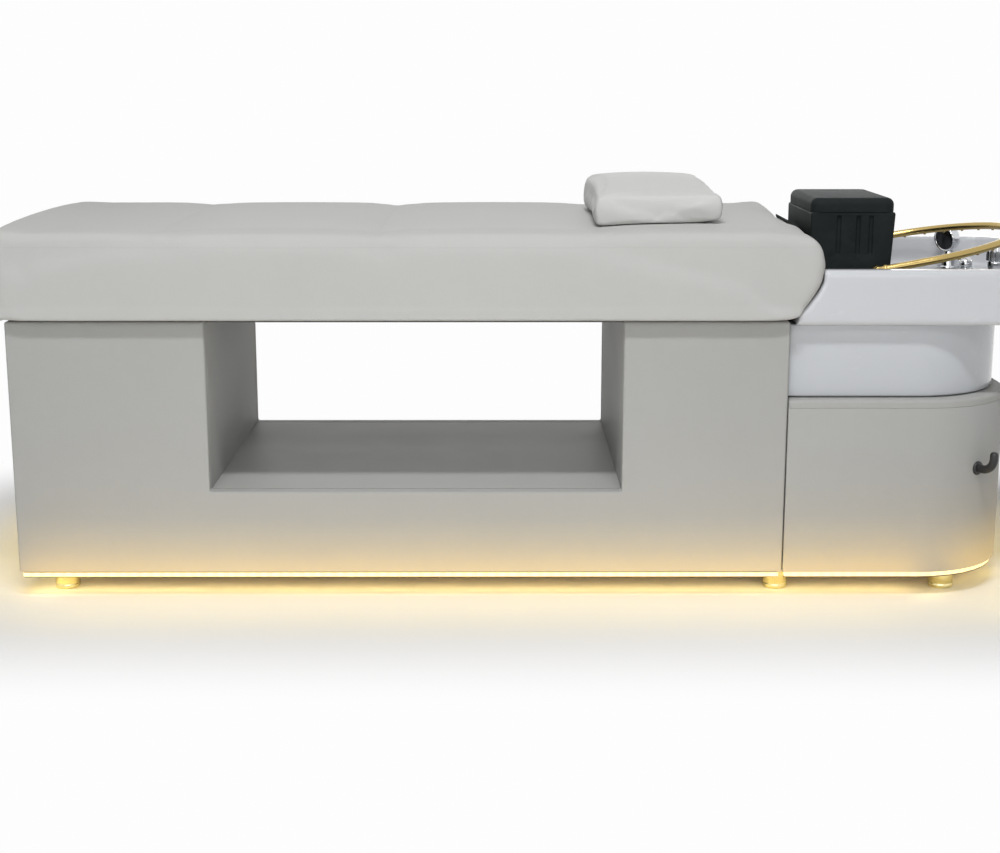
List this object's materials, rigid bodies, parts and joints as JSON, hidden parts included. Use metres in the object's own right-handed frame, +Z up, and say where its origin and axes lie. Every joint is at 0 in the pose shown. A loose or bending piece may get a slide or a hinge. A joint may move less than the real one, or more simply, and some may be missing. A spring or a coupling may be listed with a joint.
{
  "type": "head spa bed",
  "caption": "Upholstered head spa bed with an open niche, a soft mattress and pillow, a rear basin with a neck rest, a swinging water arch and taps, and a rear service cabinet.",
  "frame": {"origin": "centre of the whole bed's box, on the floor under its feet", "axes": "+X along the bed from the foot end to the basin, +Y from the viewed front side to the back, +Z up"},
  "size_m": [2.213, 0.74, 0.8365],
  "materials": {
    "leatherette": "satin",
    "cabinet_hide": "satin",
    "plywood": "matte",
    "white_glaze": "gloss",
    "white_shell": "gloss",
    "gold": "polished",
    "chrome": "polished",
    "black_rubber": "satin",
    "black_plastic": "satin",
    "warm_light": "satin",
    "tank_plastic": "satin",
    "pipe_grey": "satin",
    "steel": "satin",
    "hose_rubber": "matte"
  },
  "bodies": {
    "bed": {"front_panel": "cabinet_hide", "back_panel": "cabinet_hide", "foot_end_panel": "cabinet_hide", "head_end_panel": "cabinet_hide", "base_board": "plywood", "niche_floor": "cabinet_hide", "niche_foot_wall": "cabinet_hide", "niche_head_wall": "cabinet_hide", "foot_batten": "plywood", "mattress_board": "plywood", "mattress": "leatherette", "rear_shell": "cabinet_hide", "rear_base": "plywood", "rear_top": "cabinet_hide", "hinge_fixed_lower": "steel", "hinge_fixed_upper": "steel", "foot_1": "gold", "foot_2": "gold", "foot_3": "gold", "foot_4": "gold", "foot_5": "gold", "foot_6": "gold", "light_strip_front": "warm_light", "light_strip_back": "warm_light", "light_strip_foot_end": "warm_light", "light_strip_rear": "warm_light", "basin": "white_glaze", "tub": "white_shell", "arch_bracket_left": "gold", "arch_bracket_right": "gold", "shower_socket": "chrome", "mixer_body": "chrome", "valve_body": "chrome", "drain_flange": "chrome", "drain_pipe": "pipe_grey", "water_tank": "tank_plastic", "pump_volute": "pipe_grey", "pump_motor": "steel", "heater": "steel", "hose_tank_to_pump": "hose_rubber", "hose_pump_to_heater": "hose_rubber", "hose_heater_to_basin": "hose_rubber", "hose_hook": "black_plastic", "power_inlet": "black_plastic", "switch_bezel": "black_plastic"},
    "arch": {"water_arch": "gold"},
    "turret": {"mixer_turret": "chrome"},
    "lever": {"mixer_lever": "chrome"},
    "knob": {"valve_knob": "chrome"},
    "handset": {"hand_shower": "chrome"},
    "strainer": {"drain_strainer": "steel"},
    "hatch": {"service_hatch": "cabinet_hide", "hatch_knob": "chrome", "hinge_moving_lower": "steel", "hinge_moving_upper": "steel"},
    "head_pillow": {"pillow": "leatherette"},
    "neck_support": {"neck_rest": "black_rubber", "neck_rest_lid": "black_rubber"},
    "rocker": {"switch_rocker": "black_plastic"}
  },
  "joints": [
    {"name": "arch_swing", "type": "hinge", "parent": "bed", "child": "arch", "pos_m": [0.6665, 0, 0.6525], "axis": [0, -1, 0], "range_deg": [0, 110]},
    {"name": "mixer_turn", "type": "hinge", "parent": "bed", "child": "turret", "pos_m": [0.9545, 0.15, 0.6136], "axis": [0, 0, 1], "range_deg": [-45, 45]},
    {"name": "mixer_tilt", "type": "hinge", "parent": "turret", "child": "lever", "pos_m": [0.9545, 0.15, 0.6213], "axis": [-1, 0, 0], "range_deg": [0, 20]},
    {"name": "valve_turn", "type": "hinge", "parent": "bed", "child": "knob", "pos_m": [0.9505, -0.08, 0.6556], "axis": [0, 0, 1], "range_deg": [0, 90]},
    {"name": "shower_lift", "type": "slide", "parent": "bed", "child": "handset", "axis": [0, 0, 1], "range_m": [0, 0.25]},
    {"name": "strainer_lift", "type": "slide", "parent": "bed", "child": "strainer", "axis": [0, 0, 1], "range_m": [0, 0.12]},
    {"name": "hatch_swing", "type": "hinge", "parent": "bed", "child": "hatch", "pos_m": [0.9614, 0.119, 0.218], "axis": [0, 0, 1], "range_deg": [0, 100]},
    {"name": "pillow_lift", "type": "slide", "parent": "bed", "child": "head_pillow", "axis": [0, 0, 1], "range_m": [0, 0.2]},
    {"name": "neck_rest_lift", "type": "slide", "parent": "bed", "child": "neck_support", "axis": [0, 0, 1], "range_m": [0, 0.15]},
    {"name": "switch_rock", "type": "hinge", "parent": "bed", "child": "rocker", "pos_m": [0.6115, 0.3503, 0.15], "axis": [-1, 0, 0], "range_deg": [0, 14]}
  ]
}
